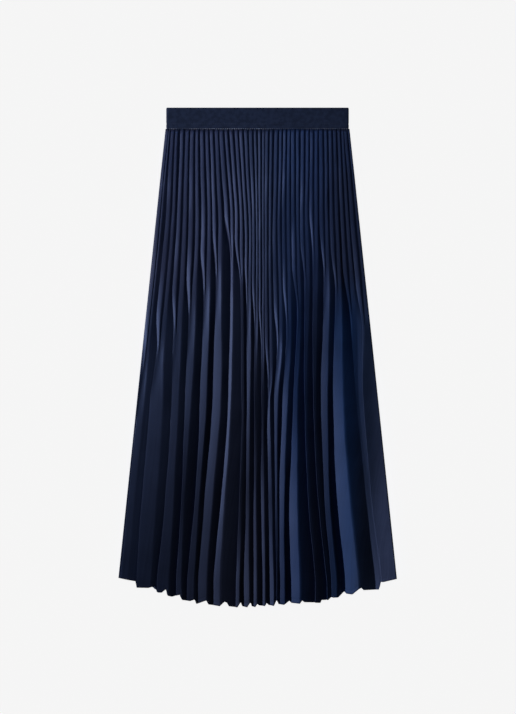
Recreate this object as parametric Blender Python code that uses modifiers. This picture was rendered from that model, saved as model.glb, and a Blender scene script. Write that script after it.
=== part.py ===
"""Pleated midi skirt with a wide elastic waistband, laid flat on its back.

Metres, +Z up. The skirt lies on the plane z = 0 with its waist towards +Y, and the origin is under the middle
of its box. The front and the back are two pleated walls, one lying on the other. Each starts at the band as
fine pleats, and further down each pair of fine pleats runs together into one wide pleat.
"""

from collections import namedtuple
from math import radians

import bmesh
import bpy
from mathutils import Euler, Vector

LENGTH = 0.824  # top of the waistband to the lowest tip of the hem
WALL = 0.001  # cloth
SEAM_GAP = 0.0003  # between pieces that are sewn together

BAND_WIDTH = 0.3016  # laid flat
BAND_HEIGHT = 0.035
BAND_LAYER = 0.0022
BAND_INSIDE = 0.001  # left between its two layers
BAND_ROUND_STEPS = 5  # round each end of the flattened loop

TOP_HALF_WIDTH = 0.1515  # of the panels, at the band
HEM_HALF_WIDTH = 0.2291  # at the hem's corners
CORNER_DOWN = 0.7765  # a hem corner, from the top of the band

UNITS = 21  # wide pleats across a panel, of two fine pleats each
LEAST_FACE = 0.0022  # the steep face of a wide pleat is never narrower than this
VALLEY_RISE = 0.007  # a pleat's inner fold ends this much above its tip
BACK_EVENING = 0.05  # the back's hem evens the front's tips out over this share of the width to each side
EDGE_LEAST = 0.007  # no fold comes nearer to the left side than this share of the width
FINE_DOWN = 0.152  # where the table's fine column is read, from the top of the band
MID_DOWN = 0.483  # its mid columns
LOW_DOWN = 0.647  # and its low ones

OPENING = 0.034  # the pleats reach their full depth this far below the band
RUN_BEFORE = 0.060  # a pair of pleats starts to run together this far above the end of its inner pleat
RUN_AFTER = 0.012  # and is one wide pleat this far below it
WIDE_FROM = 0.060  # rows that are placed as a share of the way to the hem start this far below it

# Heights of the middle of the wall: at the band, among the fine pleats and among the wide ones.
Height = namedtuple("Height", "band fine wide")
FRONT_RIDGE = Height(0.0049, 0.0146, 0.0198)
FRONT_VALLEY = Height(0.0034, 0.0090, 0.0098)
BACK_PEAK = Height(0.0013, 0.0056, 0.0074)
BACK_LAND = WALL / 2  # the back's lower folds lie on the surface
SIDE_SEAM = Height(0.0025, 0.0064, 0.0086)
SIDE_TURN = 0.0014  # each panel turns towards the other over this height at a side seam
FACE_BOW = 0.10  # a wide pleat's steep face bulges by this share of its height

# One row for each wide pleat of the front, from the left. "seam", "fine" and "run" are the middle of its two
# fine pleats at the band, among the fine pleats and where they run together, and "run_down" is how far that is
# below the waist's top, in mm. The other pairs are the inner fold and the ridge of the wide pleat at the mid,
# low and hem heights, and "tip" is the pleat's length at its ridge, in mm. Positions are thousandths of the
# panel's width at that height, from its left side. The first row is one pleat all the way.
Fold = namedtuple("Fold", "seam fine run run_down mid_in mid_out low_in low_out hem_in hem_out tip")
FRONT_FOLDS = [
    Fold(14, 18, 20, 433, 7, 31, 7, 29, 8, 33, 785),
    Fold(48, 65, 71, 404, 56, 108, 59, 114, 66, 116, 792),
    Fold(103, 123, 140, 374, 143, 172, 149, 179, 139, 181, 805),
    Fold(156, 180, 199, 341, 200, 225, 210, 219, 209, 226, 810),
    Fold(209, 240, 260, 306, 262, 288, 262, 277, 247, 271, 818),
    Fold(261, 295, 311, 278, 313, 348, 298, 328, 287, 317, 819),
    Fold(313, 352, 364, 249, 379, 390, 361, 375, 342, 364, 821),
    Fold(368, 402, 414, 287, 436, 443, 432, 438, 423, 435, 824),
    Fold(420, 447, 456, 325, 456, 469, 457, 467, 452, 470, 824),
    Fold(473, 485, 489, 358, 488, 495, 487, 495, 487, 497, 823),
    Fold(520, 520, 518, 397, 518, 525, 515, 525, 520, 528, 821),
    Fold(562, 553, 548, 450, 539, 552, 543, 555, 545, 558, 821),
    Fold(613, 597, 591, 397, 570, 584, 569, 576, 569, 575, 820),
    Fold(658, 643, 632, 364, 604, 625, 584, 602, 582, 598, 819),
    Fold(704, 688, 678, 328, 650, 666, 622, 653, 622, 652, 818),
    Fold(757, 734, 723, 285, 697, 703, 695, 701, 709, 716, 817),
    Fold(806, 782, 768, 245, 733, 741, 732, 739, 751, 758, 812),
    Fold(856, 831, 816, 277, 764, 791, 758, 776, 767, 785, 808),
    Fold(905, 883, 864, 305, 814, 856, 805, 854, 817, 865, 801),
    Fold(951, 933, 922, 341, 912, 921, 916, 927, 925, 939, 794),
    Fold(985, 978, 972, 361, 939, 1000, 937, 1000, 947, 1000, 777),
]

# The back's pleats are spaced evenly. A fine pleat's parts and a wide one's, as shares of their unit.
Unit = namedtuple("Unit", "land_1 land_1_end middle land_2 land_2_end")
BACK_FINE = Unit(0.20, 0.30, 0.50, 0.70, 0.80)
BACK_WIDE = Unit(0.32, 0.44, 0.50, 0.56, 0.68)

# How far down the rows of a panel's mesh lie: in metres from the band or from where the pleats run together,
# or as a share of the way from the wide pleats' start to the hem.
FRONT_ROWS = [
    ("band", 0.0), ("band", 0.005), ("band", 0.016), ("band", 0.034), ("band", 0.105), ("run", -0.066),
    ("run", -0.036), ("run", -0.010), ("run", 0.020), ("hem", 0.0), ("hem", 0.25), ("hem", 0.5), ("hem", 0.75),
    ("hem", 1.0),
]
BACK_ROWS = [
    ("band", 0.0), ("band", 0.005), ("band", 0.016), ("band", 0.034), ("band", 0.105), ("run", -0.060),
    ("run", 0.020), ("hem", 0.45), ("hem", 0.75), ("hem", 1.0),
]

NAVY_SATIN = ("navy_satin", (0.0110, 0.0165, 0.0400, 1.0), 0.42)
NAVY_ELASTIC = ("navy_elastic", (0.0095, 0.0145, 0.0330, 1.0), 0.80)


def mix(low, high, share):
    return low + (high - low) * share


def ease(start, end, value):
    """0 before start, 1 after end, and a soft S between them."""
    share = min(max((value - start) / (end - start), 0.0), 1.0)
    return share * share * (3 - 2 * share)


def through(stations, value):
    """Straight through the first two (place, size) stations, and on through the others in a smooth curve."""
    (start, first), (end, last) = stations[:2]
    slopes = [(last - first) / (end - start)] * 2
    for (before, low), _, (after, high) in zip(stations[1:], stations[2:], stations[3:]):
        slopes.append((high - low) / (after - before))
    slopes.append(0.0)
    for place in range(len(stations) - 1):
        (start, first), (end, last) = stations[place], stations[place + 1]
        if value <= end:
            share, reach = (value - start) / (end - start), end - start
            pull = share * (1 - share) * ((1 - share) * slopes[place] - share * slopes[place + 1]) * reach
            return mix(first, last, share * share * (3 - 2 * share)) + pull
    return stations[-1][1]


def along(points, value):
    """Straight lines through (place, size) points."""
    for (start, first), (end, last) in zip(points, points[1:]):
        if value <= end:
            return mix(first, last, max(value - start, 0.0) / (end - start))
    return points[-1][1]


def cleared_scene():
    for leftover in list(bpy.data.objects):
        bpy.data.objects.remove(leftover, do_unlink=True)
    skirt = bpy.data.collections.new("pleated_midi_skirt")
    bpy.context.scene.collection.children.link(skirt)
    return skirt


def fabric(name, colour, roughness):
    material = bpy.data.materials.new(name)
    material.use_nodes = True
    shader = material.node_tree.nodes["Principled BSDF"]
    shader.inputs["Base Color"].default_value = colour
    shader.inputs["Roughness"].default_value = roughness
    shader.inputs["Metallic"].default_value = 0.0
    return material


def across(share, down):
    """X of a share of the panel's width, 0 at its left side and 1 at its right, at a distance down."""
    way = min((down - BAND_HEIGHT) / (CORNER_DOWN - BAND_HEIGHT), 1.0)
    return (2 * share - 1) * mix(TOP_HALF_WIDTH, HEM_HALF_WIDTH, way)


def run_line():
    """Where along the width, and how far down, the fine pleats run together."""
    return [(fold.run / 1000, fold.run_down / 1000) for fold in FRONT_FOLDS]


def row_down(row, share, tip):
    """How far down a row of the mesh crosses the fold that stands at a share of the width."""
    start, amount = row
    run = along(run_line(), share)
    if start == "band":
        return BAND_HEIGHT + SEAM_GAP + amount
    if start == "run":
        return run + amount
    return mix(run + WIDE_FROM, tip, amount)


def height(levels, down, merged):
    """A level's height at a distance down, where merged is how far the pleats have run together."""
    opened = ease(0.0, OPENING, down - BAND_HEIGHT - SEAM_GAP)
    return mix(levels.band, mix(levels.fine, levels.wide, merged), opened)


def merged_at(down, run):
    return ease(run - RUN_BEFORE, run + RUN_AFTER, down)


def half_pair(unit, station):
    """From the middle of a unit's two fine pleats to their first inner fold or last ridge: three quarters of
    the spacing of the fine pleats at one of the table's stations, as a share of the width.
    """
    before, after = max(unit - 1, 0), min(unit + 1, UNITS - 1)
    between = getattr(FRONT_FOLDS[after], station) - getattr(FRONT_FOLDS[before], station)
    return 0.75 * between / 1000 / (2 * (after - before))


def wide_edge(unit, outer, down):
    """Where a unit's first inner fold, or its last ridge, stands across the width."""
    if outer and unit == UNITS - 1:
        return 1.0
    fold, side = FRONT_FOLDS[unit], 1 if outer else -1
    downs = (BAND_HEIGHT, FINE_DOWN, fold.run_down / 1000, MID_DOWN, LOW_DOWN, fold.tip / 1000)
    places = [getattr(fold, name) / 1000 + side * half_pair(unit, name) for name in ("seam", "fine", "run")]
    ends = (fold.mid_out, fold.low_out, fold.hem_out) if outer else (fold.mid_in, fold.low_in, fold.hem_in)
    places += [place / 1000 for place in ends]
    return max(through(list(zip(downs, places)), down), EDGE_LEAST)


def front_place(unit, corner, row):
    """A vertex of the front. Corners 1 to 4 of a unit are inner fold, ridge, inner fold and ridge, evenly
    spaced, and where the pleats have run together the middle two lie on one wide face.
    """
    fold = FRONT_FOLDS[unit]
    step = (corner - 1) / 3
    run_down = fold.run_down / 1000
    run_share = fold.run / 1000 + (2 * step - 1) * half_pair(unit, "run")
    shortest = min(fold.tip, FRONT_FOLDS[max(unit - 1, 0)].tip) / 1000 - VALLEY_RISE
    down = row_down(row, run_share, mix(shortest, fold.tip / 1000, step))

    inner, outer = wide_edge(unit, False, down), wide_edge(unit, True, down)
    inner = min(inner, outer - LEAST_FACE / (across(1.0, down) - across(0.0, down)))
    merged = merged_at(down, run_down) if unit else 1.0
    ridge = height(FRONT_RIDGE, down, merged_at(down, along(run_line(), run_share)))
    valley = height(FRONT_VALLEY, down, merged_at(down, run_down))
    bow = FACE_BOW * (ridge - valley)
    z = {
        1: valley,
        2: mix(ridge, mix(valley, ridge, step) + bow, merged),
        3: mix(valley, mix(valley, ridge, step) + bow, merged),
        4: ridge,
    }[corner]
    return mix(inner, outer, step), down, z


def side_height(down):
    return height(SIDE_SEAM, down, merged_at(down, FRONT_FOLDS[-1].run_down / 1000))


def front_columns():
    """(unit or side, corner or how far the panel has turned under) for each column, from left to right."""
    columns = [("left", SIDE_TURN), ("left", 0.0)]
    columns += [(unit, corner) for unit in range(UNITS) for corner in (1, 2, 3, 4)]
    return columns[:-1] + [("right", 0.0), ("right", SIDE_TURN)]


def front_vertex(column, row):
    unit, corner = column
    if unit in ("left", "right"):
        share = 1.0 if unit == "right" else 0.0
        down = row_down(row, share, CORNER_DOWN)
        return across(share, down), LENGTH / 2 - down, side_height(down) + SEAM_GAP / 2 + SIDE_TURN - corner
    share, down, z = front_place(unit, corner, row)
    return across(share, down), LENGTH / 2 - down, z


def back_tip(share):
    """The back's length: the front's tips, evened out."""
    tips = [(0.0, FRONT_FOLDS[-1].tip / 1000)]
    tips += [(fold.hem_out / 1000, fold.tip / 1000) for fold in FRONT_FOLDS[1:]]
    near = [min(max(share + aside, 0.0), 1.0) for aside in (-BACK_EVENING, 0.0, BACK_EVENING)]
    return sum(along(tips, place) for place in near) / len(near) - VALLEY_RISE / 2


def back_columns():
    """(unit, part of the unit) for each column, or at a side (which fold there, share of the width)."""
    columns = [("side", 0.0), ("turn", 0.0)]
    for unit in range(UNITS):
        columns += [(unit, part) for part in Unit._fields]
        if unit < UNITS - 1:
            columns.append((unit, "peak"))
    return columns + [("turn", 1.0), ("side", 1.0)]


def back_vertex(column, row):
    unit, part = column
    if unit in ("side", "turn"):
        down = row_down(row, part, back_tip(part))
        z = side_height(down) - SEAM_GAP / 2 - (SIDE_TURN if unit == "turn" else 0.0)
        return across(part, down), LENGTH / 2 - down, max(z, BACK_LAND)
    at_middle = (unit + 0.5) / UNITS
    down = row_down(row, at_middle, back_tip(at_middle))
    merged = merged_at(down, along(run_line(), at_middle))
    peak = height(BACK_PEAK, down, merged)
    if part == "peak":
        share, z = 1.0, peak
    else:
        share = mix(getattr(BACK_FINE, part), getattr(BACK_WIDE, part), merged)
        z = mix(peak, BACK_LAND, merged) if part == "middle" else BACK_LAND
    return across((unit + share) / UNITS, down), LENGTH / 2 - down, z


def pleated_wall(name, columns, rows, vertex, material, skirt):
    """An even grid, its vertices moved onto the pleats' folds, thickened to both sides."""
    grid = bmesh.new()
    bmesh.ops.create_grid(grid, x_segments=len(columns) - 1, y_segments=len(rows) - 1, size=1.0)
    for point in grid.verts:
        column = round((point.co.x + 1) / 2 * (len(columns) - 1))
        row = round((1 - point.co.y) / 2 * (len(rows) - 1))
        point.co = vertex(columns[column], rows[row])
    mesh = bpy.data.meshes.new(name)
    grid.to_mesh(mesh)
    grid.free()
    mesh.materials.append(material)
    panel = bpy.data.objects.new(name, mesh)
    skirt.objects.link(panel)
    wall = panel.modifiers.new("cloth", "SOLIDIFY")
    wall.thickness = WALL
    wall.offset = 0.0
    wall.use_even_offset = True
    return panel


def flat_loop(curve, width, thickness):
    """A flattened loop's outline: straight layers and half-round ends."""
    radius = thickness / 2
    spline = curve.splines.new("POLY")
    points = []
    for side, start in ((1, -90), (-1, 90)):
        for step in range(BAND_ROUND_STEPS + 1):
            points.append((side * (width / 2 - radius), radius, start + 180 * step / BAND_ROUND_STEPS))
    spline.points.add(len(points) - 1)
    for point, (middle, reach, degrees) in zip(spline.points, points):
        turn = Euler((0.0, 0.0, radians(degrees)))
        end = Vector((reach, 0.0, 0.0))
        end.rotate(turn)
        point.co = (middle + end.x, end.y, 0.0, 1.0)
    spline.use_cyclic_u = True


def waistband(material, skirt):
    """The elastic loop, standing on edge as a filled outline and turned so that it lies along Y."""
    thickness = 2 * BAND_LAYER + BAND_INSIDE
    curve = bpy.data.curves.new("waistband", "CURVE")
    curve.dimensions = "2D"
    curve.fill_mode = "BOTH"
    curve.extrude = BAND_HEIGHT / 2
    flat_loop(curve, BAND_WIDTH, thickness)
    flat_loop(curve, BAND_WIDTH - 2 * BAND_LAYER, BAND_INSIDE)
    curve.materials.append(material)
    band = bpy.data.objects.new("waistband", curve)
    band.rotation_euler = (radians(90), 0.0, 0.0)
    band.location = (0.0, (LENGTH - BAND_HEIGHT) / 2, thickness / 2)
    skirt.objects.link(band)


def main():
    skirt = cleared_scene()
    satin = fabric(*NAVY_SATIN)
    waistband(fabric(*NAVY_ELASTIC), skirt)
    pleated_wall("front_panel", front_columns(), FRONT_ROWS, front_vertex, satin, skirt)
    pleated_wall("back_panel", back_columns(), BACK_ROWS, back_vertex, satin, skirt)


main()
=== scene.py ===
# The pleated midi skirt, laid flat on its back and seen from straight above.
# Metres, in the frame's own axes: +Y towards the waist, +Z up.
# "down" is the distance from the waist's top edge, and "share" a place across the width, 0 at the left side.

import math
from collections import namedtuple

import bpy
import numpy as np
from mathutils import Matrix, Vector


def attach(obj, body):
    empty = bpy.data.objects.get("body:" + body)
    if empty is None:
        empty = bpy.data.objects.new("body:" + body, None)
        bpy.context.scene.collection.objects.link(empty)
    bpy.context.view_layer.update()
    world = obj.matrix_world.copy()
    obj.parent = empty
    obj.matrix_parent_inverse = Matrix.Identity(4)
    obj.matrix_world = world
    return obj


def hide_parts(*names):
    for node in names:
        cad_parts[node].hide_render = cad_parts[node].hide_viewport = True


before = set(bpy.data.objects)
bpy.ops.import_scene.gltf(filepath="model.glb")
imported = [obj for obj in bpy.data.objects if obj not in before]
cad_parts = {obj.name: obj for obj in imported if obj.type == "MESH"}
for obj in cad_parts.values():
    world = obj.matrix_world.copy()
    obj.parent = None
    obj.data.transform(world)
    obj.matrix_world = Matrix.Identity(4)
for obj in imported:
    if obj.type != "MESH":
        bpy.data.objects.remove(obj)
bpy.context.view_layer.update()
print("frame loaded")

skirtLength = 0.824
topHalfWidth = 0.1515  # of the cloth, at the band
hemHalfWidth = 0.2291  # at the hem's corners
cornerDown = 0.7765  # a hem corner
bandHeight = 0.035
seamGap = 0.0003  # between the band and the cloth
unitCount = 21  # wide pleats, of two fine pleats each at the band
rowCrowding = 0.35  # how much closer the rows of points lie near the band

# One row for each wide pleat, from the left. "seam", "fine" and "run" are the middle of its two fine pleats
# at the band, among the fine pleats and where they run together, and "runDown" is how far that is below the
# waist's top, in mm. The other pairs are the inner fold and the ridge of the wide pleat at the mid, low and
# hem heights. Positions are thousandths of the width. The first row is one pleat all the way.
Fold = namedtuple("Fold", "seam fine run runDown midIn midOut lowIn lowOut hemIn hemOut")
foldDowns = {"seam": 0.035, "fine": 0.152, "mid": 0.483, "low": 0.647, "hem": 0.810}
folds = [
    Fold(14, 18, 20, 433, 7, 31, 7, 29, 8, 33),
    Fold(48, 65, 71, 404, 56, 108, 59, 114, 66, 116),
    Fold(103, 123, 140, 374, 143, 172, 149, 179, 139, 181),
    Fold(156, 180, 199, 341, 200, 225, 210, 219, 209, 226),
    Fold(209, 240, 260, 306, 262, 288, 262, 277, 247, 271),
    Fold(261, 295, 311, 278, 313, 348, 298, 328, 287, 317),
    Fold(313, 352, 364, 249, 379, 390, 361, 375, 342, 364),
    Fold(368, 402, 414, 287, 436, 443, 432, 438, 423, 435),
    Fold(420, 447, 456, 325, 456, 469, 457, 467, 452, 470),
    Fold(473, 485, 489, 358, 488, 495, 487, 495, 487, 497),
    Fold(520, 520, 518, 397, 518, 525, 515, 525, 520, 528),
    Fold(562, 553, 548, 450, 539, 552, 543, 555, 545, 558),
    Fold(613, 597, 591, 397, 570, 584, 569, 576, 569, 575),
    Fold(658, 643, 632, 364, 604, 625, 584, 602, 582, 598),
    Fold(704, 688, 678, 328, 650, 666, 622, 653, 622, 652),
    Fold(757, 734, 723, 285, 697, 703, 695, 701, 709, 716),
    Fold(806, 782, 768, 245, 733, 741, 732, 739, 751, 758),
    Fold(856, 831, 816, 277, 764, 791, 758, 776, 767, 785),
    Fold(905, 883, 864, 305, 814, 856, 805, 854, 817, 865),
    Fold(951, 933, 922, 341, 912, 921, 916, 927, 925, 939),
    Fold(985, 978, 972, 361, 939, 1000, 937, 1000, 947, 1000),
]


def mix(low, high, share):
    return low + (high - low) * share


def ease(start, end, value):
    share = np.clip((value - start) / (end - start), 0.0, 1.0)
    return share * share * (3 - 2 * share)


def through(downs, places, value):
    # A smooth curve through (downs, places), straight through the first two of them.
    downs, places = np.array(downs), np.array(places)
    slopes = np.zeros(len(downs))
    slopes[:2] = (places[1] - places[0]) / (downs[1] - downs[0])
    slopes[2:-1] = (places[3:] - places[1:-2]) / (downs[3:] - downs[1:-2])
    step = np.clip(np.searchsorted(downs, value) - 1, 0, len(downs) - 2)
    reach = downs[step + 1] - downs[step]
    share = np.clip((value - downs[step]) / reach, 0.0, 1.0)
    pull = share * (1 - share) * ((1 - share) * slopes[step] - share * slopes[step + 1]) * reach
    return mix(places[step], places[step + 1], share * share * (3 - 2 * share)) + pull


def waver(seed, along, wavelength):
    # A soft irregular wave from -1 to 1 along a length, different for each seed.
    total = 0.0
    for part, (stretch, weight) in enumerate(((1.0, 0.5), (0.57, 0.3), (0.31, 0.2))):
        turns = 2 * math.pi * along / (wavelength * stretch)
        total = total + weight * np.sin(turns + seed * (2.4 + 1.7 * part) + part)
    return total


def across(share, down):
    way = np.minimum((down - bandHeight) / (cornerDown - bandHeight), 1.0)
    return (2 * share - 1) * mix(topHalfWidth, hemHalfWidth, way)


def halfAcross(down):
    return across(1.0, down)


def crowded(count):
    # Shares of the way down for so many rows, closer together near the band.
    even = np.linspace(0.0, 1.0, count)
    return mix(even, even * even, rowCrowding)


def gridObject(name, columns, rows):
    # A flat grid of so many vertices, and for each vertex its column and row, row 0 towards +Y.
    bpy.ops.object.select_all(action="DESELECT")
    bpy.ops.mesh.primitive_grid_add(x_subdivisions=columns - 1, y_subdivisions=rows - 1, size=2.0)
    obj = bpy.context.object
    obj.name = obj.data.name = name
    place = placesOf(obj)
    column = np.round((place[:, 0] + 1) / 2 * (columns - 1)).astype(int)
    row = np.round((1 - place[:, 1]) / 2 * (rows - 1)).astype(int)
    return obj, column, row


def placesOf(obj):
    places = np.empty(len(obj.data.vertices) * 3)
    obj.data.vertices.foreach_get("co", places)
    return places.reshape(-1, 3)


def moveTo(obj, x, y, z):
    obj.data.vertices.foreach_set("co", np.stack([x, y, z], axis=-1).astype(np.float32).ravel())
    obj.data.update()


def writeUv(obj, u, v):
    corners = np.empty(len(obj.data.loops), dtype=np.int32)
    obj.data.loops.foreach_get("vertex_index", corners)
    layer = obj.data.uv_layers[0]
    layer.name = "cloth"
    layer.data.foreach_set("uv", np.stack([u[corners], v[corners]], axis=-1).astype(np.float32).ravel())


def layCloth(name, x, down, z):
    # A sheet through rows of points with its UV map in metres along the cloth, and its flat width and length.
    sheet, column, row = gridObject(name, x.shape[1], x.shape[0])
    steps = np.hypot(np.diff(x, axis=1), np.diff(z, axis=1))
    lengths = np.concatenate([np.zeros((len(x), 1)), np.cumsum(steps, axis=1)], axis=1)
    moveTo(sheet, x[row, column], skirtLength / 2 - down[row, column], z[row, column])
    writeUv(sheet, lengths[row, column], down[row, column])
    return sheet, column, (float(lengths[-1, -1]), float(down.max() - down.min()))


def applyModifier(obj, modifier):
    bpy.context.view_layer.objects.active = obj
    bpy.ops.object.modifier_apply(modifier=modifier.name)


def thicken(obj, thickness, offset):
    wall = obj.modifiers.new("wall", "SOLIDIFY")
    wall.thickness = thickness
    wall.offset = offset
    applyModifier(obj, wall)


def markSharp(obj, crisp, column):
    # Fold edges: edges that run along one column of crisp vertices keep a hard shade.
    ends = np.empty(len(obj.data.edges) * 2, dtype=np.int32)
    obj.data.edges.foreach_get("vertices", ends)
    ends = ends.reshape(-1, 2)
    sharp = crisp[ends[:, 0]] & (column[ends[:, 0]] == column[ends[:, 1]])
    attribute = obj.data.attributes.new("sharp_edge", "BOOLEAN", "EDGE")
    attribute.data.foreach_set("value", sharp)


def finishPiece(obj, material):
    for face in obj.data.polygons:
        face.use_smooth = True
    obj.data.materials.clear()
    obj.data.materials.append(material)


# Steps that the materials share.

def newMaterial(name, look):
    material = bpy.data.materials.new(name)
    material.use_nodes = True
    shader = material.node_tree.nodes["Principled BSDF"]
    shader.inputs["Specular IOR Level"].default_value = look["specular"]
    return material, material.node_tree, shader


def nodeOf(tree, kind, values=None, **settings):
    node = tree.nodes.new(kind)
    for key, value in settings.items():
        setattr(node, key, value)
    for key, value in (values or {}).items():
        node.inputs[key].default_value = value
    return node


def rangeOf(tree, value, start, end, low=0.0, high=1.0, interpolation="LINEAR"):
    values = {"From Min": start, "From Max": end, "To Min": low, "To Max": high}
    node = nodeOf(tree, "ShaderNodeMapRange", values, interpolation_type=interpolation)
    tree.links.new(value, node.inputs["Value"])
    return node.outputs["Result"]


def noiseOf(tree, place, scale, detail):
    # A scale of three numbers stretches the noise.
    if isinstance(scale, tuple):
        stretch = nodeOf(tree, "ShaderNodeMapping", {"Scale": scale})
        tree.links.new(place, stretch.inputs["Vector"])
        place, scale = stretch.outputs["Vector"], 1.0
    node = nodeOf(tree, "ShaderNodeTexNoise", {"Scale": scale, "Detail": detail})
    tree.links.new(place, node.inputs["Vector"])
    return node.outputs["Fac"]


def rampOf(tree, value, stops, interpolation="LINEAR"):
    node = nodeOf(tree, "ShaderNodeValToRGB")
    ramp = node.color_ramp
    ramp.interpolation = interpolation
    ramp.elements.remove(ramp.elements[1])
    ramp.elements[0].position, ramp.elements[0].color = stops[0]
    for place, colour in stops[1:]:
        ramp.elements.new(place).color = colour
    tree.links.new(value, node.inputs["Fac"])
    return node.outputs["Color"]


def bumpOf(tree, height, strength, distance, normal=None):
    node = nodeOf(tree, "ShaderNodeBump", {"Strength": strength, "Distance": distance})
    tree.links.new(height, node.inputs["Height"])
    if normal is not None:
        tree.links.new(normal, node.inputs["Normal"])
    return node.outputs["Normal"]


# Satin of the skirt.

satinLook = {
    "facing": (0.28, 0.72),  # how far the cloth turns from the eye while it goes from satin to matt
    "roughness": (0.50, 1.0),  # seen straight on, and seen along the cloth
    "specular": 0.30,
    "specularTint": (0.27, 0.44, 1.0, 1.0),
    # The two ramps below are the satin's navy with painted light: violet grey to the left, a lighter blue to
    # the right and lightest at the right side, where tinted light falls across the cloth.
    "upperColourAndPaintedLight": (  # across the width, from the left to the right, above the wide pleats
        (0.42, (0.0148, 0.0169, 0.0366, 1.0)), (0.51, (0.0116, 0.0154, 0.0335, 1.0)),
        (0.62, (0.0112, 0.0192, 0.0520, 1.0)), (0.70, (0.0112, 0.0184, 0.0510, 1.0)),
        (0.80, (0.0100, 0.0130, 0.0300, 1.0)),
    ),
    "wideColourAndPaintedLight": (  # and along them
        (0.00, (0.0100, 0.0155, 0.0370, 1.0)), (0.50, (0.0140, 0.0174, 0.0355, 1.0)),
        (0.64, (0.0078, 0.0190, 0.0620, 1.0)), (0.71, (0.0112, 0.0172, 0.0430, 1.0)),
        (0.83, (0.0098, 0.0278, 0.0890, 1.0)), (0.89, (0.0165, 0.0262, 0.0600, 1.0)),
        (0.96, (0.0450, 0.0620, 0.1320, 1.0)),
    ),
    "colourAndLightDowns": (0.26, 0.37),  # the first pass into the second over this length
    "streakScale": (420.0, 6.0, 1.0),  # fine streaks along the pleats
    "blotchScale": 22.0,
    "noiseDetail": 3.0,
    "streakShare": 0.55,  # of the unevenness, and the rest is soft blotches
    "noiseRange": (0.36, 0.64),
    "unevenness": 0.16,
    "streakBump": 0.12,
    "streakHeight": 0.0006,
    "weaveScale": (2600.0, 900.0, 1.0),
    "weaveDetail": 1.0,
    "weaveBump": 0.08,
    "weaveHeight": 0.0002,
}


def satinTone(tree, streaks, blotches):
    # How light the cloth is, around 1.
    rest = nodeOf(tree, "ShaderNodeMath", {1: 1 - satinLook["streakShare"]}, operation="MULTIPLY")
    tree.links.new(blotches, rest.inputs[0])
    both = nodeOf(tree, "ShaderNodeMath", {1: satinLook["streakShare"]}, operation="MULTIPLY_ADD")
    tree.links.new(streaks, both.inputs[0])
    tree.links.new(rest.outputs["Value"], both.inputs[2])
    uneven = satinLook["unevenness"]
    return rangeOf(tree, both.outputs["Value"], *satinLook["noiseRange"], 1 - uneven, 1 + uneven)


# Base colour with painted light: a ramp across the width above the wide pleats gives way down the skirt to
# one along them.
def satinColourAndPaintedLight(tree):
    place = nodeOf(tree, "ShaderNodeTexCoord").outputs["Object"]
    apart = nodeOf(tree, "ShaderNodeSeparateXYZ")
    tree.links.new(place, apart.inputs["Vector"])
    width = rangeOf(tree, apart.outputs["X"], -hemHalfWidth, hemHalfWidth)
    start, end = (skirtLength / 2 - down for down in satinLook["colourAndLightDowns"])
    length = rangeOf(tree, apart.outputs["Y"], start, end, interpolation="SMOOTHSTEP")
    colourAndLight = nodeOf(tree, "ShaderNodeMix", data_type="RGBA")
    sockets = {socket.identifier: socket for socket in (*colourAndLight.inputs, *colourAndLight.outputs)}
    tree.links.new(length, sockets["Factor_Float"])
    tree.links.new(rampOf(tree, width, satinLook["upperColourAndPaintedLight"], "EASE"), sockets["A_Color"])
    tree.links.new(rampOf(tree, width, satinLook["wideColourAndPaintedLight"], "EASE"), sockets["B_Color"])
    return sockets["Result_Color"]


def satinMaterial():
    material, tree, shader = newMaterial("navySatin", satinLook)
    shader.inputs["Specular Tint"].default_value = satinLook["specularTint"]
    turned = nodeOf(tree, "ShaderNodeLayerWeight").outputs["Facing"]
    matt = rangeOf(tree, turned, *satinLook["facing"], *satinLook["roughness"])
    tree.links.new(matt, shader.inputs["Roughness"])

    uv = nodeOf(tree, "ShaderNodeUVMap", uv_map="cloth").outputs["UV"]
    streaks = noiseOf(tree, uv, satinLook["streakScale"], satinLook["noiseDetail"])
    blotches = noiseOf(tree, uv, satinLook["blotchScale"], satinLook["noiseDetail"])
    colour = nodeOf(tree, "ShaderNodeVectorMath", operation="SCALE")
    tree.links.new(satinColourAndPaintedLight(tree), colour.inputs["Vector"])
    tree.links.new(satinTone(tree, streaks, blotches), colour.inputs["Scale"])
    tree.links.new(colour.outputs["Vector"], shader.inputs["Base Color"])

    weave = noiseOf(tree, uv, satinLook["weaveScale"], satinLook["weaveDetail"])
    woven = bumpOf(tree, weave, satinLook["weaveBump"], satinLook["weaveHeight"])
    streaked = bumpOf(tree, streaks, satinLook["streakBump"], satinLook["streakHeight"], woven)
    tree.links.new(streaked, shader.inputs["Normal"])
    return material


# Elastic of the waistband, and the threads on it.

elasticLook = {
    "roughness": 0.86,
    "specular": 0.15,
    "tones": ((0.38, (0.0128, 0.0188, 0.0425, 1.0)), (0.62, (0.0195, 0.0282, 0.0620, 1.0))),
    "blotchScale": 150.0,
    "blotchDetail": 4.0,
    "ribScale": (1400.0, 700.0, 1400.0),
    "ribDetail": 2.0,
    "ribBump": 0.5,
    "ribHeight": 0.0003,
}
threadLook = {
    "roughness": 0.85,
    "specular": 0.2,
    "toneScale": 26.0,  # of the lighter and darker stretches
    "toneDetail": 2.0,
    "bandTones": ((0.42, (0.020, 0.028, 0.062, 1.0)), (0.58, (0.040, 0.052, 0.100, 1.0))),
    # The seam thread's pale tones are a painted highlight along the satin's edge at the seam.
    "seamHighlightTones": ((0.42, (0.060, 0.072, 0.120, 1.0)), (0.58, (0.300, 0.320, 0.420, 1.0))),
}


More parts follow.
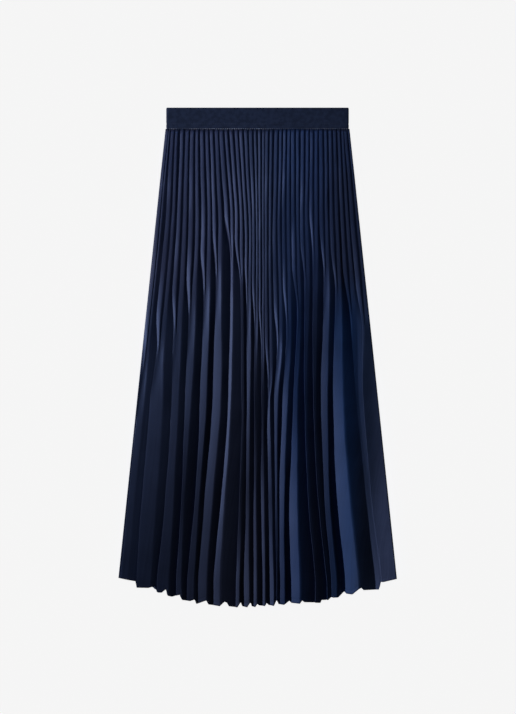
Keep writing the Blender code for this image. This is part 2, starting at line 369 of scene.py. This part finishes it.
def elasticMaterial():
    material, tree, shader = newMaterial("navyElastic", elasticLook)
    shader.inputs["Roughness"].default_value = elasticLook["roughness"]
    place = nodeOf(tree, "ShaderNodeTexCoord").outputs["Object"]
    blotches = noiseOf(tree, place, elasticLook["blotchScale"], elasticLook["blotchDetail"])
    tree.links.new(rampOf(tree, blotches, elasticLook["tones"]), shader.inputs["Base Color"])
    ribs = noiseOf(tree, place, elasticLook["ribScale"], elasticLook["ribDetail"])
    ribbed = bumpOf(tree, ribs, elasticLook["ribBump"], elasticLook["ribHeight"])
    tree.links.new(ribbed, shader.inputs["Normal"])
    return material


def threadMaterial(name, tones):
    material, tree, shader = newMaterial(name, threadLook)
    shader.inputs["Roughness"].default_value = threadLook["roughness"]
    place = nodeOf(tree, "ShaderNodeTexCoord").outputs["Object"]
    stretches = noiseOf(tree, place, threadLook["toneScale"], threadLook["toneDetail"])
    tree.links.new(rampOf(tree, stretches, tones), shader.inputs["Base Color"])
    return material


satin = satinMaterial()
elastic = elasticMaterial()
print("materials ready")

# Front of the skirt.

frontLook = {
    "clothThickness": 0.0008,
    "fineRidge": 0.0146,  # height of the fine pleats' ridges
    "bandRidge": 0.0062,  # and at the band
    "bandDepth": 0.0020,  # of the fine pleats at the band
    "opening": 0.009,  # the fine pleats reach their depth this far below the band
    "rises": ((0.3, 0.005), (0.7, 0.090)),  # shares of their height, and how far below the band they reach it
    "depthDowns": (0.07, 0.22),  # their depth goes from "fineTop" to "fineLow" over this length
    "pairWidth": 0.80,  # of two fine pleats, up to the groove after them, as a share of their spacing
    "firstHalfPair": 0.009,  # half of that for the first pleat, as a share of the skirt's width
    "between": (0.375, 0.625),  # shares of that width at which the ridge and the groove between the two lie
    "betweenWander": 0.04,
    "leftmost": 0.007,  # share of the skirt's width at which the first inner fold lies
    "narrowest": 0.0022,  # width of a lit face
    "ridge": 0.0190,  # height of the wide pleats' ridges
    "ridgeRise": (0.17, 0.06),  # from the fine pleats' height to theirs, above and below where a pair has met
    "merging": (0.060, 0.012),  # the same for the side seams and the back
    "heights": (0.0087, 0.0222),  # the lowest and the highest that an inner fold lies
    "riser": 0.0004,  # width of the step where a pleat rises over its neighbour
    "runLength": 0.085,  # a pair of fine pleats runs together over this length
    "firstRunLength": 0.15,  # and the first pleat spreads out over this one
    "drawnReach": (0.075, 0.080),  # the inner fold is drawn in from so far above, and at least so far below
    "runPlace": 0.22,  # share of the lit face at which they meet
    "runGap": 0.06,  # what is left of the groove between them there, as a share of the lit face
    "crease": 0.0004,  # height of the thin crease that goes on below
    "creaseReach": (0.020, 0.050),  # it grows over the first length above, and fades over the second below
    "runSteepness": 1.2,  # how much steeper the lit face stays towards its ridge there
    "steepLength": 0.090,
    "leanReach": (0.01, 0.04),  # below where they meet: the first lean, and where the wide pleat is all there
    "spread": (0.02, 0.08),  # the columns of points spread out evenly between these lengths below
    "rounding": (0.3, 0.35, 0.15),  # of the shaded faces, the fine pleats and the lit faces
    "foldWander": (0.0005, 0.21),  # how far a fold wanders, and over what length
    "heightWander": (0.0005, 0.17),
    "depthWander": (0.10, 0.26),
    "wanderFull": 0.05,  # how far below the band a ridge's height wanders fully
    "hemReach": 0.014,  # the rows close to the hem start this far above it
    "darkColumns": 8,
    "faceColumns": (5, 4, 5),
    "rows": 106,
}
# One row for each wide pleat: how far its lit face leans, in degrees, where its pair has run together and at
# the mid, low and hem heights; how far the shaded face before it leans at the last three; its ridge's height
# above the others, in mm; the depth of its fine pleats, in mm, under the band and further down; and how far
# its first inner fold is drawn in where its pair has run together, as a share of half the pair's width.
Lean = namedtuple("Lean", "litRun litMid litLow litHem darkMid darkLow darkHem ridge fineTop fineLow drawn")
leanHem = 0.760  # down, where the lean at the hem is reached
leans = [
    Lean(16, 13, 6, 0, 0, 0, 0, -7.0, 0.90, 0.70, 0.68),
    Lean(16, 13, 5, -1, 1, 3, 6, -2.0, 1.45, 1.30, 0.68),
    Lean(11, 13, 6, 0, 5, 8, 15, -1.0, 2.00, 1.85, 0.68),
    Lean(18, 17, -4, 6, 10, 18, 20, 0, 2.30, 2.10, 0.68),
    Lean(26, 20, 7, 3, 16, 20, 20, 0, 2.20, 2.20, 0.68),
    Lean(26, 24, 18, 13, 16, 20, 20, 0, 2.15, 2.35, 0.75),
    Lean(42, 38, 28, 21, 16, 20, 20, 0, 2.25, 2.60, 1.45),
    Lean(9, 1, -8, 22, 8, 10, 11, 0, 2.30, 2.60, 1.35),
    Lean(26, 26, 13, 25, 16, 20, 20, 0, 2.30, 1.90, 0.68),
    Lean(27, -12, 21, 26, 20, 20, 20, 0, 2.10, 1.55, 0.80),
    Lean(22, -6, 25, 28, 16, 20, 20, 0, 2.05, 1.45, 0.95),
    Lean(20, 35, 16, 31, 20, 20, 20, 0, 1.90, 1.35, 0.68),
    Lean(25, 24, 20, -16, 18, 20, 20, 0, 1.85, 1.20, 0.68),
    Lean(5, 26, 26, 22, 14, 8, 2, 0, 1.80, 0.90, 0.90),
    Lean(-4, 13, 30, 31, 19, 16, 22, 0, 1.85, 0.85, 1.10),
    Lean(1, -6, -8, -12, 20, 18, 16, 0, 1.75, 0.80, 0.68),
    Lean(6, -9, -14, -20, 20, 20, 20, 0, 1.40, 0.95, 0.68),
    Lean(19, 22, 16, 6, 20, 20, 20, 0, 1.35, 1.10, 0.68),
    Lean(8, 25, 34, 35, 20, 20, 20, 2.0, 1.20, 1.20, 0.68),
    Lean(-1, -7, 11, 19, 10, 11, 11, -3.5, 1.10, 1.30, 0.68),
    Lean(-12, -13, 7, 9, -10, -12, -12, 1.8, 0.90, 1.10, 0.68),
]
Level = namedtuple("Level", "band fine wide")
sideLevel = Level(0.0025, 0.0064, 0.0086)  # heights of the side seams
sideTurn = 0.0014  # each panel turns towards the other over this height at a side seam
hemRise = np.array([0.0110, 0.0072, 0.0062, 0.0052, 0.0014, 0.0])  # rows at the hem, above its edge
hemSink = np.array([0.0, 0.0, 0.00010, 0.0, 0.0, 0.00015])  # how far those rows dip
# The hem's edge from the left: share of the width, and length of the skirt there in mm.
hemLine = np.array([
    (0.0, 776.0), (0.062, 781.5), (0.066, 791.5), (0.108, 792.0), (0.130, 789.3), (0.140, 799.5),
    (0.155, 799.8), (0.171, 794.0), (0.176, 804.5), (0.192, 806.5), (0.222, 803.0), (0.228, 811.5),
    (0.258, 813.5), (0.274, 811.0), (0.281, 818.5), (0.316, 812.5), (0.323, 819.0), (0.364, 822.0),
    (0.387, 812.5), (0.394, 822.0), (0.428, 824.0), (0.440, 815.0), (0.445, 822.0), (0.463, 824.0),
    (0.475, 815.5), (0.480, 822.0), (0.492, 823.5), (0.500, 818.0), (0.505, 820.5), (0.527, 821.8),
    (0.533, 816.5), (0.540, 820.0), (0.559, 821.5), (0.569, 812.0), (0.576, 818.5), (0.595, 819.8),
    (0.615, 813.0), (0.622, 817.0), (0.654, 818.0), (0.660, 812.5), (0.668, 815.5), (0.726, 816.5),
    (0.731, 811.5), (0.737, 812.0), (0.754, 811.5), (0.765, 807.0), (0.772, 808.0), (0.790, 807.5),
    (0.812, 798.0), (0.820, 802.0), (0.841, 803.0), (0.872, 791.0), (0.880, 795.5), (0.936, 794.8),
    (0.945, 782.0), (0.952, 782.5), (1.0, 777.0),
])


def hemDown(share):
    return np.interp(share, hemLine[:, 0], hemLine[:, 1] / 1000)


def levelHeight(level, merged, opened):
    return mix(level.band, mix(level.fine, level.wide, merged), opened)


def mergedAt(down, run):
    # From 0 among the fine pleats to 1 along the wide ones.
    above, below = frontLook["merging"]
    return ease(run - above, run + below, down)


def halfPair(unit, station):
    if unit == 0:
        return frontLook["firstHalfPair"]
    before, after = max(unit - 1, 0), min(unit + 1, unitCount - 1)
    between = getattr(folds[after], station) - getattr(folds[before], station)
    return frontLook["pairWidth"] * between / 1000 / (2 * (after - before))


def wideEdge(unit, outer, down):
    # Share of the width of a unit's first inner fold, or of its last ridge.
    if outer and unit == unitCount - 1:
        return np.ones_like(down)
    fold, side = folds[unit], 1 if outer else -1
    run = fold.runDown / 1000
    downs = (foldDowns["seam"], foldDowns["fine"], run, foldDowns["mid"], foldDowns["low"], foldDowns["hem"])
    places = [getattr(fold, name) / 1000 + side * halfPair(unit, name) for name in ("seam", "fine", "run")]
    ends = (fold.midOut, fold.lowOut, fold.hemOut) if outer else (fold.midIn, fold.lowIn, fold.hemIn)
    places += [place / 1000 for place in ends]
    place = np.maximum(through(downs, places, down), frontLook["leftmost"])
    if unit and not outer:
        above, below = frontLook["drawnReach"]
        end = max(foldDowns["mid"], run + below)
        drawnIn = ease(run - above, run, down) * (1 - ease(run, end, down))
        place = place + leans[unit].drawn * halfPair(unit, "run") * drawnIn
    wander, wavelength = frontLook["foldWander"]
    return place + waver(unit + (0.5 if outer else 0.0), down, wavelength) * wander / (2 * halfAcross(down))


def risen(down):
    # From 0 at the band to 1 where the fine pleats have their full height.
    return sum(share * ease(0.0, reach, down - bandHeight) for share, reach in frontLook["rises"])


def sideHeight(down):
    return levelHeight(sideLevel, mergedAt(down, folds[-1].runDown / 1000), risen(down))


def nearRun(unit, down):
    # From 0 where a unit's two fine pleats start to run together to 1 where they have.
    length = frontLook["runLength"] if unit else frontLook["firstRunLength"]
    return np.clip((down - folds[unit].runDown / 1000) / length + 1, 0.0, 1.0)


def leanAt(row, names, downs, down):
    return np.radians(np.interp(down, downs, [getattr(row, name) for name in names]))


def fineDepth(unit, down, seed):
    row = leans[unit]
    wander, wavelength = frontLook["depthWander"]
    full = mix(row.fineTop, row.fineLow, ease(*frontLook["depthDowns"], down)) / 1000
    full = full * (1 + wander * waver(seed, down, wavelength))
    atBand = min(frontLook["bandDepth"], row.fineTop / 1000)
    return mix(atBand, full, ease(0.0, frontLook["opening"], down - bandHeight))


def ridgeHeight(unit, down):
    # Height of a unit's last ridge.
    if unit < 0:
        return sideHeight(down) + sideTurn
    fine = mix(frontLook["bandRidge"], frontLook["fineRidge"], risen(down))
    wide = frontLook["ridge"] + leans[unit].ridge / 1000
    run = folds[unit].runDown / 1000
    above, below = frontLook["ridgeRise"]
    wander, wavelength = frontLook["heightWander"]
    fade = ease(0.0, frontLook["wanderFull"], down - bandHeight)
    wandered = waver(unit * 1.3, down, wavelength) * fade * wander
    return mix(fine, wide, ease(run - above, run + below, down)) + wandered


def innerFolds(unit, down):
    # Shares of a unit's first inner fold and last ridge.
    inner, outer = wideEdge(unit, False, down), wideEdge(unit, True, down)
    return np.minimum(inner, outer - frontLook["narrowest"] / (2 * halfAcross(down))), outer


def innerHeights(unit, down):
    # Heights of a unit's first inner fold: at the foot of the shaded face and at the foot of the lit one.
    inner, outer = innerFolds(unit, down)
    before = wideEdge(unit - 1, True, down) if unit else np.zeros_like(down)
    row, run = leans[unit], folds[unit].runDown / 1000
    start, settled = (run + reach for reach in frontLook["leanReach"])
    downs = (start, max(foldDowns["mid"], settled), foldDowns["low"], leanHem)
    lit = leanAt(row, ("litRun", "litMid", "litLow", "litHem"), downs, down)
    shaded = leanAt(row, ("darkMid", "darkLow", "darkHem"), downs[1:], down)
    width = 2 * halfAcross(down)
    ridge, ridgeBefore = ridgeHeight(unit, down), ridgeHeight(unit - 1, down)
    lowest, highest = frontLook["heights"]
    high = np.clip(ridge - (outer - inner) * width * np.tan(lit), lowest, highest)
    low = np.clip(ridgeBefore - (inner - before) * width * np.tan(shaded), lowest, high)
    wide = ease(run - frontLook["runLength"], settled, down)
    valley = np.minimum(ridge, ridgeBefore) if unit else ridge
    valley = valley - fineDepth(unit, down, unit + 0.3)
    return mix(valley, low, wide), mix(valley, high, wide)


def fullness(step, amount):
    # From 0 at an inner fold to 1 at a ridge: sharp in the inner fold, rounded over the ridge.
    return mix(step, step * (2 - step), amount)


def columnDowns(hemShare, rows):
    hem = hemDown(hemShare)[None, :]
    upper = crowded(rows - len(hemRise))[:, None]
    start, end = bandHeight + seamGap, hem - frontLook["hemReach"]
    return np.concatenate([mix(start, end, upper), hem - hemRise[:, None]])


def shadedFace(unit, rows):
    # From the ridge before a unit to its first inner fold.
    steps = np.linspace(0.0, 1.0, frontLook["darkColumns"])
    atHem = np.full(1, foldDowns["hem"])
    start = wideEdge(unit - 1, True, atHem) if unit else np.zeros(1)
    down = columnDowns(mix(start, innerFolds(unit, atHem)[0], steps), rows)
    before = wideEdge(unit - 1, True, down) if unit else np.zeros_like(down)
    step = np.broadcast_to(steps[None, :], down.shape)
    riser = frontLook["riser"] / (2 * halfAcross(down))
    end = np.maximum(innerFolds(unit, down)[0] - riser, before + riser)
    low, _ = innerHeights(unit, down)
    z = mix(low, ridgeHeight(unit - 1, down), fullness(1 - step, frontLook["rounding"][0]))
    return mix(before, end, step), down, z


def runTogether(unit, whole, high, ridge, down):
    # Height across a lit face once its two fine pleats have met, with the thin crease between them.
    run, meet = folds[unit].runDown / 1000, frontLook["runPlace"]
    above, below = frontLook["creaseReach"]
    crease = frontLook["crease"] * ease(run - above, run, down)
    crease = crease * (1 - ease(run, run + below, down))
    lifted = crease * np.minimum(whole / meet, (1 - whole) / (1 - meet)) if unit else 0.0
    steep = 1 + frontLook["runSteepness"] * (1 - ease(run, run + frontLook["steepLength"], down))
    return mix(high, ridge, fullness(whole, frontLook["rounding"][2]) ** steep) + lifted


def litFace(unit, face, rows):
    # One of the three faces from a unit's first inner fold to its last ridge: up to the ridge between its two
    # fine pleats, down into their groove, and up again.
    count = frontLook["faceColumns"][face]
    steps = np.arange(count) / count
    if face == 2 and unit == unitCount - 1:
        steps = np.append(steps, 1.0)
    inner, outer = innerFolds(unit, np.full(1, foldDowns["hem"]))
    down = columnDowns(mix(inner, outer, (face + steps) / 3), rows)
    step = np.broadcast_to(steps[None, :], down.shape)
    inner, outer = innerFolds(unit, down)
    near = nearRun(unit, down)
    narrowed, together = near * near * (2 - near), near ** 4
    uneven = frontLook["betweenWander"] * math.sin(unit * 2.3)
    meet, (ridgePlace, groovePlace) = frontLook["runPlace"], frontLook["between"]
    ends = [0.0, mix(ridgePlace + uneven, meet, narrowed),
            mix(groovePlace + uneven, meet + frontLook["runGap"], narrowed), 1.0]
    run = folds[unit].runDown / 1000
    spread = ease(*(run + reach for reach in frontLook["spread"]), down)
    whole = mix(mix(ends[face], ends[face + 1], step), (face + step) / 3, spread)
    _, high = innerHeights(unit, down)
    ridge = ridgeHeight(unit, down)
    between = ridge - fineDepth(unit, down, unit + 0.8)
    rounding = frontLook["rounding"][1]
    apart = (
        mix(high, ridge, fullness(step, rounding)),
        mix(ridge, between, 1 - fullness(1 - step, rounding)),
        mix(between, ridge, fullness(step, rounding)),
    )[face]
    z = mix(apart, runTogether(unit, whole, high, ridge, down), together)
    return mix(inner, outer, whole), down, z


def frontSurface(rows):
    faces = []
    for unit in range(unitCount):
        faces.append(shadedFace(unit, rows))
        faces += [litFace(unit, face, rows) for face in range(3)]
    share, down, z = (np.hstack(part) for part in zip(*faces))
    z[-len(hemSink):] -= hemSink[:, None]
    return share, down, z


def withSides(table, first, last):
    return np.hstack([first, table, last])


share, down, z = frontSurface(frontLook["rows"])
x = across(share, down)
x = withSides(x, x[:, :1], x[:, -1:])
down = withSides(down, down[:, :1], down[:, -1:])
side = sideHeight(down[:, :1])
z[:, :1] = side + sideTurn
z = withSides(z, side, side)
frontCloth, column, frontCut = layCloth("frontCloth", x, down, z)
foldColumns = np.cumsum([1] + [frontLook["darkColumns"], sum(frontLook["faceColumns"])] * unitCount)[1::2]
markSharp(frontCloth, np.isin(column, np.concatenate([foldColumns - 1, foldColumns])), column)
thicken(frontCloth, frontLook["clothThickness"], 0.0)
finishPiece(frontCloth, satin)
print("front cloth:", len(frontCloth.data.polygons), "faces, cut", frontCut)

# Back of the skirt.

backLook = {
    "clothThickness": 0.0008,
    "peak": Level(0.0010, 0.0050, 0.0068),  # height of its folds
    "opening": 0.034,  # they reach it this far below the band
    "fine": (0.20, 0.30, 0.50, 0.70, 0.80),  # shares of a unit at which its folds lie: two fine pleats
    "wide": (0.32, 0.44, 0.50, 0.56, 0.68),  # one wide pleat
    "rounding": 0.6,
    "hemEvening": 0.05,  # its hem evens the front's tips out over this share of the width to each side
    "hemShorter": 0.0030,
    "unitColumns": 18,
    "rows": 84,
}
outerFold = (1.0, 0.0, 0.0, 0.0, 0.0, 0.0, 1.0)  # height across a unit: at its two ends
innerFold = (0.0, 0.0, 0.0, 1.0, 0.0, 0.0, 0.0)  # and between its two fine pleats


def backHem(share):
    evening = backLook["hemEvening"]
    near = [hemDown(np.clip(share + aside, 0.0, 1.0)) for aside in (-evening, 0.0, evening)]
    return sum(near) / 3 - backLook["hemShorter"]


def backUnit(unit, rows):
    count = backLook["unitColumns"]
    steps = np.arange(count) / count * 6
    if unit == unitCount - 1:
        steps = np.append(steps, 6.0)
    hem = backHem((unit + steps / 6) / unitCount)
    down = mix(bandHeight + seamGap, hem[None, :], crowded(rows)[:, None])
    step = np.broadcast_to(steps[None, :], down.shape)
    shares, downs = [fold.run / 1000 for fold in folds], [fold.runDown / 1000 for fold in folds]
    merged = mergedAt(down, np.interp((unit + 0.5) / unitCount, shares, downs))
    knots = np.arange(7.0)
    fine = np.interp(step, knots, (0.0, *backLook["fine"], 1.0))
    wide = np.interp(step, knots, (0.0, *backLook["wide"], 1.0))
    bulge = np.maximum(np.interp(step, knots, outerFold), np.interp(step, knots, innerFold) * (1 - merged))
    peak = levelHeight(backLook["peak"], merged, ease(0.0, backLook["opening"], down - bandHeight))
    z = peak * mix(bulge, bulge * bulge * (3 - 2 * bulge), backLook["rounding"])
    return (unit + mix(fine, wide, merged)) / unitCount, down, z


units = [backUnit(unit, backLook["rows"]) for unit in range(unitCount)]
share, down, z = (np.hstack(part) for part in zip(*units))
x = across(share, down)
side = sideHeight(down[:, :1]) - seamGap
z[:, :1], z[:, -1:] = side - sideTurn, side - sideTurn
x = withSides(x, x[:, :1], x[:, -1:])
down = withSides(down, down[:, :1], down[:, -1:])
z = np.maximum(withSides(z, side, side), 0.0)
backCloth, _, backCut = layCloth("backCloth", x, down, z)
thicken(backCloth, backLook["clothThickness"], 1.0)
finishPiece(backCloth, satin)
print("back cloth:", len(backCloth.data.polygons), "faces, cut", backCut)

# Waistband.

bandLook = {
    "width": 0.3016,
    "thickness": 0.0054,  # of the two layers together
    "layer": 0.0022,
    "endShare": 0.08,  # of half the loop's points that go into its turn at one end
    "squareness": 0.72,  # of a layer's section: 1 is round
    "edge": 0.0035,  # its top and bottom edges thin out over this height
    "edgePower": 2.2,
    "grooveUp": 0.0080,  # the stitched groove, above the lower edge
    "grooveWidth": 0.0009,
    "grooveDepth": 0.00045,
    "around": 220,
    "section": 56,
}


def bandLoop():
    # A torus whose ring becomes the flattened loop and whose section becomes a layer of elastic.
    bpy.ops.object.select_all(action="DESELECT")
    bpy.ops.mesh.primitive_torus_add(major_segments=bandLook["around"], minor_segments=bandLook["section"],
                                     major_radius=1.0, minor_radius=0.25)
    loop = bpy.context.object
    loop.name = loop.data.name = "waistbandLoop"
    place = placesOf(loop)
    ring = np.arctan2(place[:, 1], place[:, 0]) / (2 * math.pi) % 1.0
    section = np.arctan2(place[:, 2], np.hypot(place[:, 0], place[:, 1]) - 1.0)

    end = (bandLook["thickness"] - bandLook["layer"]) / 2
    straight = bandLook["width"] - bandLook["layer"] - 2 * end
    endShare, part = bandLook["endShare"], ring * 2 % 1.0
    side = np.where(ring < 0.5, 1.0, -1.0)
    onEnd = part < endShare
    turn = np.where(onEnd, part / endShare, 1.0) * math.pi - math.pi / 2
    run = np.where(onEnd, 0.0, (part - endShare) / (1 - endShare))
    outX, outZ = side * np.cos(turn), side * np.sin(turn)

    tall, edge = bandHeight / 2, bandLook["edge"]
    y = np.sign(np.sin(section)) * np.abs(np.sin(section)) ** bandLook["squareness"] * tall
    near = np.clip((np.abs(y) - (tall - edge)) / edge, 0.0, 1.0)
    reach = np.sqrt(np.maximum(1.0 - near ** bandLook["edgePower"], 0.0)) * np.sign(np.cos(section))
    reach = np.where(np.abs(np.cos(section)) < 1e-6, 0.0, reach * bandLook["layer"] / 2)
    groove = np.exp(-((y + tall - bandLook["grooveUp"]) / bandLook["grooveWidth"]) ** 2)
    reach = np.where(reach > 0, reach - bandLook["grooveDepth"] * groove, reach)
    x = side * (straight / 2 - run * straight) + outX * (end + reach)
    moveTo(loop, x, skirtLength / 2 - tall + y, bandLook["thickness"] / 2 + outZ * (end + reach))
    return loop


waistband = bandLoop()
finishPiece(waistband, elastic)
print("waistband:", len(waistband.data.polygons), "faces")

# Rows of stitches.

topStitchLook = {
    "reach": 0.1475,  # to each side
    "down": 0.027,
    "up": 0.00545,
    "stitch": 0.0022,
    "gap": 0.0008,
    "thick": 0.0007,
}
seamStitchLook = {
    "reach": 0.1490,
    "down": 0.0352,
    "up": 0.0070,
    "stitch": 0.0026,
    "gap": 0.0011,
    "thick": 0.0010,
}


def stitchRow(name, look, material):
    # A row of short threads: one stitch, repeated.
    bpy.ops.object.select_all(action="DESELECT")
    bpy.ops.mesh.primitive_uv_sphere_add(segments=8, ring_count=6, radius=1.0)
    row = bpy.context.object
    row.name = row.data.name = name
    place = placesOf(row)
    moveTo(row, place[:, 0] * look["stitch"] / 2 - look["reach"],
           skirtLength / 2 - look["down"] + place[:, 1] * look["thick"] / 2,
           look["up"] + place[:, 2] * look["thick"] / 2)
    spacing = look["stitch"] + look["gap"]
    repeat = row.modifiers.new("repeat", "ARRAY")
    repeat.use_relative_offset = False
    repeat.use_constant_offset = True
    repeat.constant_offset_displace = (spacing, 0.0, 0.0)
    repeat.count = int(2 * look["reach"] / spacing) + 1
    applyModifier(row, repeat)
    finishPiece(row, material)
    return row


bandThread = threadMaterial("bandThread", threadLook["bandTones"])
# The seam's stitches carry a painted highlight of the satin's edge in their pale tone.
seamThreadHighlight = threadMaterial("seamThreadHighlight", threadLook["seamHighlightTones"])
topStitches = stitchRow("bandTopStitches", topStitchLook, bandThread)
seamStitches = stitchRow("seamStitches", seamStitchLook, seamThreadHighlight)
print("stitches:", len(topStitches.data.polygons) + len(seamStitches.data.polygons), "faces")

# Names for the frame.

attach(frontCloth, "root")
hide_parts("front_panel")
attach(backCloth, "root")
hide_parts("back_panel")
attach(waistband, "root")
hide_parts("waistband")
for stitches in (topStitches, seamStitches):
    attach(stitches, "root")

# Floor, lights and camera.

studioLook = {
    "cameraPlace": (0.0008, 0.0003, 5.015),
    "cameraDistance": 5.0,  # to where the picture is as wide as the next value
    "pictureWidth": 0.850,
    "floorSize": 40.0,
    "floorColour": 0.60,
    "floorGlow": 0.893,
    "floorRoughness": 0.9,
    "floorSpecular": 0.1,
    "overheadPlace": (0.0, 0.0, 4.0),
    "overheadSize": (3.0, 3.0),
    "overheadPower": 3.2,
    "leftPlace": (-2.2, 0.15, 0.60),
    "leftSize": (0.5, 1.6),
    "leftPower": 66.0,
    "leftColour": (1.03, 0.99, 1.0),
    "waistPlace": (-0.5, 0.95, 1.1),
    "waistTarget": (0.0, 0.36, 0.0),
    "waistSpread": 40.0,  # degrees
    "waistSoftness": 0.2,
    "waistPower": 21.0,
    "waistColour": (0.42, 0.72, 1.0),
    "world": 0.020,
}


def lightObject(data, place, target, power, colour):
    data.energy = power
    data.color = colour
    light = bpy.data.objects.new(data.name, data)
    bpy.context.scene.collection.objects.link(light)
    light.location = place
    light.rotation_euler = (Vector(target) - Vector(place)).to_track_quat("-Z", "Y").to_euler()
    return light


def areaLight(name, place, size, power, colour):
    data = bpy.data.lights.new(name, "AREA")
    data.shape = "RECTANGLE"
    data.size, data.size_y = size
    return lightObject(data, place, (0.0, 0.0, 0.0), power, colour)


def waistLight():
    data = bpy.data.lights.new("waist", "SPOT")
    data.spot_size = math.radians(studioLook["waistSpread"])
    data.spot_blend = 1.0
    data.shadow_soft_size = studioLook["waistSoftness"]
    return lightObject(data, studioLook["waistPlace"], studioLook["waistTarget"], studioLook["waistPower"],
                       studioLook["waistColour"])


def floorMaterial():
    material = bpy.data.materials.new("paleFloor")
    material.use_nodes = True
    shader = material.node_tree.nodes["Principled BSDF"]
    shader.inputs["Base Color"].default_value = (studioLook["floorColour"],) * 3 + (1.0,)
    shader.inputs["Emission Color"].default_value = (1.0, 1.0, 1.0, 1.0)
    shader.inputs["Emission Strength"].default_value = studioLook["floorGlow"]
    shader.inputs["Roughness"].default_value = studioLook["floorRoughness"]
    shader.inputs["Specular IOR Level"].default_value = studioLook["floorSpecular"]
    return material


bpy.ops.object.select_all(action="DESELECT")
bpy.ops.mesh.primitive_plane_add(size=studioLook["floorSize"], location=(0.0, 0.0, 0.0))
floor = bpy.context.object
floor.name = floor.data.name = "floor"
floor.data.materials.append(floorMaterial())

areaLight("overhead", studioLook["overheadPlace"], studioLook["overheadSize"], studioLook["overheadPower"],
          (1.0, 1.0, 1.0))
left = areaLight("left", studioLook["leftPlace"], studioLook["leftSize"], studioLook["leftPower"],
                 studioLook["leftColour"])
left.data.use_shadow = False
waist = waistLight()
skirt = bpy.data.collections.new("skirt")  # these two light the skirt alone
for piece in (frontCloth, backCloth, waistband, topStitches, seamStitches):
    skirt.objects.link(piece)
for light in (left, waist):
    light.light_linking.receiver_collection = skirt

world = bpy.data.worlds.new("studio")
world.use_nodes = True
world.node_tree.nodes["Background"].inputs["Color"].default_value = (1.0, 1.0, 1.0, 1.0)
world.node_tree.nodes["Background"].inputs["Strength"].default_value = studioLook["world"]
bpy.context.scene.world = world

cameraData = bpy.data.cameras.new("camera")
cameraData.sensor_fit = "HORIZONTAL"
cameraData.sensor_width = 36.0
cameraData.lens = cameraData.sensor_width * studioLook["cameraDistance"] / studioLook["pictureWidth"]
cameraData.clip_end = 50.0
camera = bpy.data.objects.new("camera", cameraData)
bpy.context.scene.collection.objects.link(camera)
camera.location = studioLook["cameraPlace"]
bpy.context.scene.camera = camera
bpy.context.scene.view_settings.view_transform = "Standard"

print("studio ready")
